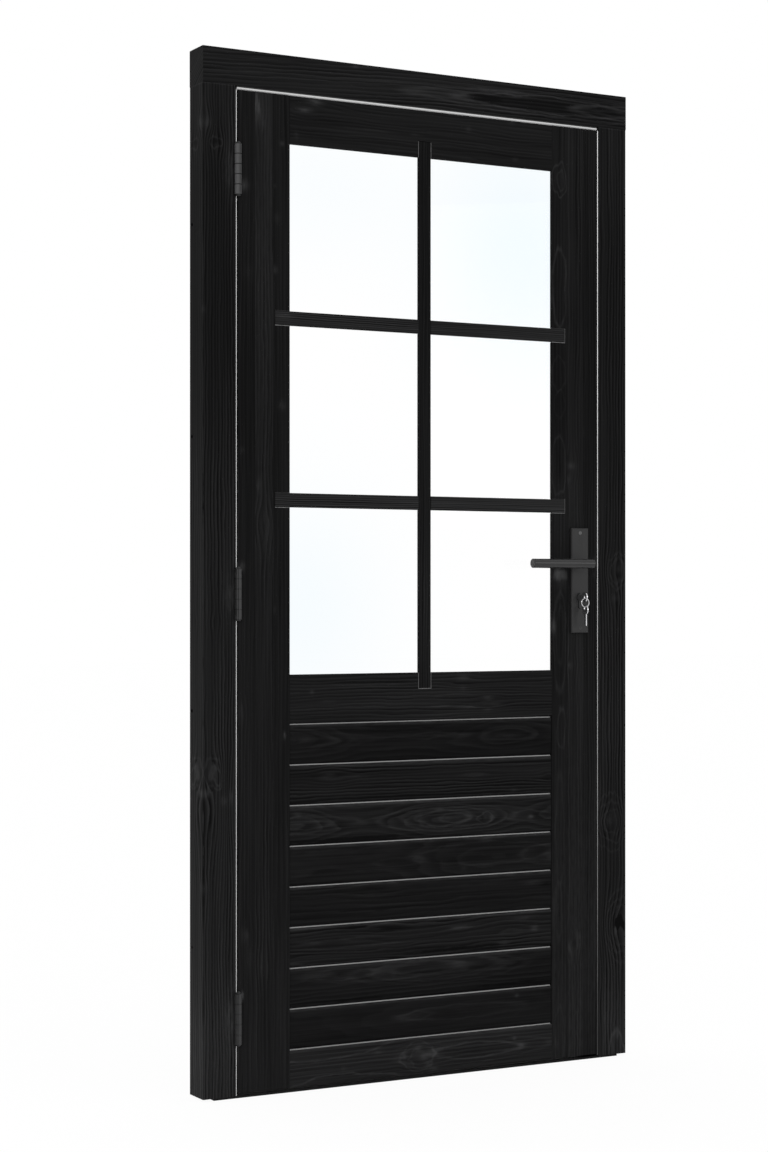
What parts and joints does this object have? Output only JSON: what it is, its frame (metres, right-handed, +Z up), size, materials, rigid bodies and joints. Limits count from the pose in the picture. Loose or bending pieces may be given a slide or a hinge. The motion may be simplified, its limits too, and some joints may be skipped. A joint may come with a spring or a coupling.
{
  "type": "glazed wooden door with frame",
  "caption": "Hinged timber door leaf in its own frame, glazed above with bars and boarded below, with a long-plate lever lock and a key.",
  "frame": {"origin": "on the floor under the threshold strip, at the middle of the frame's width and of the leaf's thickness", "axes": "+X along the wall to the right as seen from the front, +Y into the wall from the front, +Z up"},
  "size_m": [1.015, 0.129, 2.1],
  "materials": {
    "stained_timber": "black-stained softwood, brushed grain",
    "seal": "pale grey, matt",
    "dark_metal": "anthracite powder coat, satin",
    "zinc_steel": "zinc plated",
    "nickel": "nickel plated",
    "clear_glass": "clear float glass"
  },
  "bodies": {
    "frame": {"head": "stained_timber", "hinge_jamb": "stained_timber", "lock_jamb": "stained_timber", "threshold": "dark_metal", "head_seal": "seal", "hinge_side_seal": "seal", "lock_side_seal": "seal", "strike_plate": "dark_metal", "strike_screws": "dark_metal", "frame_screws": "zinc_steel", "frame_hinge_leaf_top": "dark_metal", "frame_hinge_leaf_middle": "dark_metal", "frame_hinge_leaf_bottom": "dark_metal", "hinge_pins": "dark_metal", "frame_hinge_screws": "dark_metal"},
    "leaf": {"hinge_stile": "stained_timber", "lock_stile": "stained_timber", "top_rail": "stained_timber", "middle_rail": "stained_timber", "bottom_rail": "stained_timber", "panel_board_1": "stained_timber", "panel_board_2": "stained_timber", "panel_board_3": "stained_timber", "panel_board_4": "stained_timber", "panel_board_5": "stained_timber", "panel_board_6": "stained_timber", "panel_board_7": "stained_timber", "panel_board_8": "stained_timber", "glass_pane": "clear_glass", "glazing_bar_upright": "stained_timber", "glazing_bar_upper": "stained_timber", "glazing_bar_lower": "stained_timber", "glazing_bead_top": "stained_timber", "glazing_bead_bottom": "stained_timber", "glazing_bead_left": "stained_timber", "glazing_bead_right": "stained_timber", "door_hinge_leaf_top": "dark_metal", "door_hinge_leaf_middle": "dark_metal", "door_hinge_leaf_bottom": "dark_metal", "door_hinge_screws": "dark_metal", "lock_case": "zinc_steel", "lock_cover": "zinc_steel", "forend_screws": "zinc_steel", "front_plate": "dark_metal", "back_plate": "dark_metal", "plate_screws": "dark_metal", "cylinder_body": "nickel", "cylinder_screw": "zinc_steel"},
    "lever_set": {"follower": "zinc_steel", "spindle": "zinc_steel", "front_lever": "dark_metal", "back_knob": "dark_metal"},
    "latch": {"latch_bolt": "zinc_steel"},
    "dead_bolt": {"dead_bolt": "zinc_steel"},
    "key_set": {"cylinder_plug": "nickel", "key": "nickel"},
    "keys": {"key_ring": "nickel", "spare_key": "nickel"}
  },
  "joints": [
    {"name": "leaf_swing", "type": "hinge", "parent": "frame", "child": "leaf", "pos_m": [-0.43375, -0.027, 0], "axis": [0, 0, -1], "range_deg": [0, 170]},
    {"name": "lever_turn", "type": "hinge", "parent": "leaf", "child": "lever_set", "pos_m": [0.383, 0, 1.075], "axis": [0, -1, 0], "range_deg": [0, 40], "stiffness_Nm_per_rad": 2.5, "springref_deg": -28.65},
    {"name": "latch_slide", "type": "slide", "parent": "leaf", "child": "latch", "axis": [-1, 0, 0], "range_m": [0, 0.011]},
    {"name": "key_turn", "type": "hinge", "parent": "leaf", "child": "key_set", "pos_m": [0.383, 0, 1.003], "axis": [0, 1, 0], "range_deg": [0, 360]},
    {"name": "bolt_slide", "type": "slide", "parent": "leaf", "child": "dead_bolt", "axis": [1, 0, 0], "range_m": [0, 0.02]},
    {"name": "ring_swing", "type": "hinge", "parent": "key_set", "child": "keys", "pos_m": [0.383, -0.0475, 1.0005], "axis": [-1, 0, 0], "range_deg": [-10, 60]}
  ],
  "couplings": [
    {"joint": "latch_slide", "follows": "lever_turn", "m_per_rad": 0.01575},
    {"joint": "bolt_slide", "follows": "key_turn", "m_per_rad": 0.00315}
  ]
}
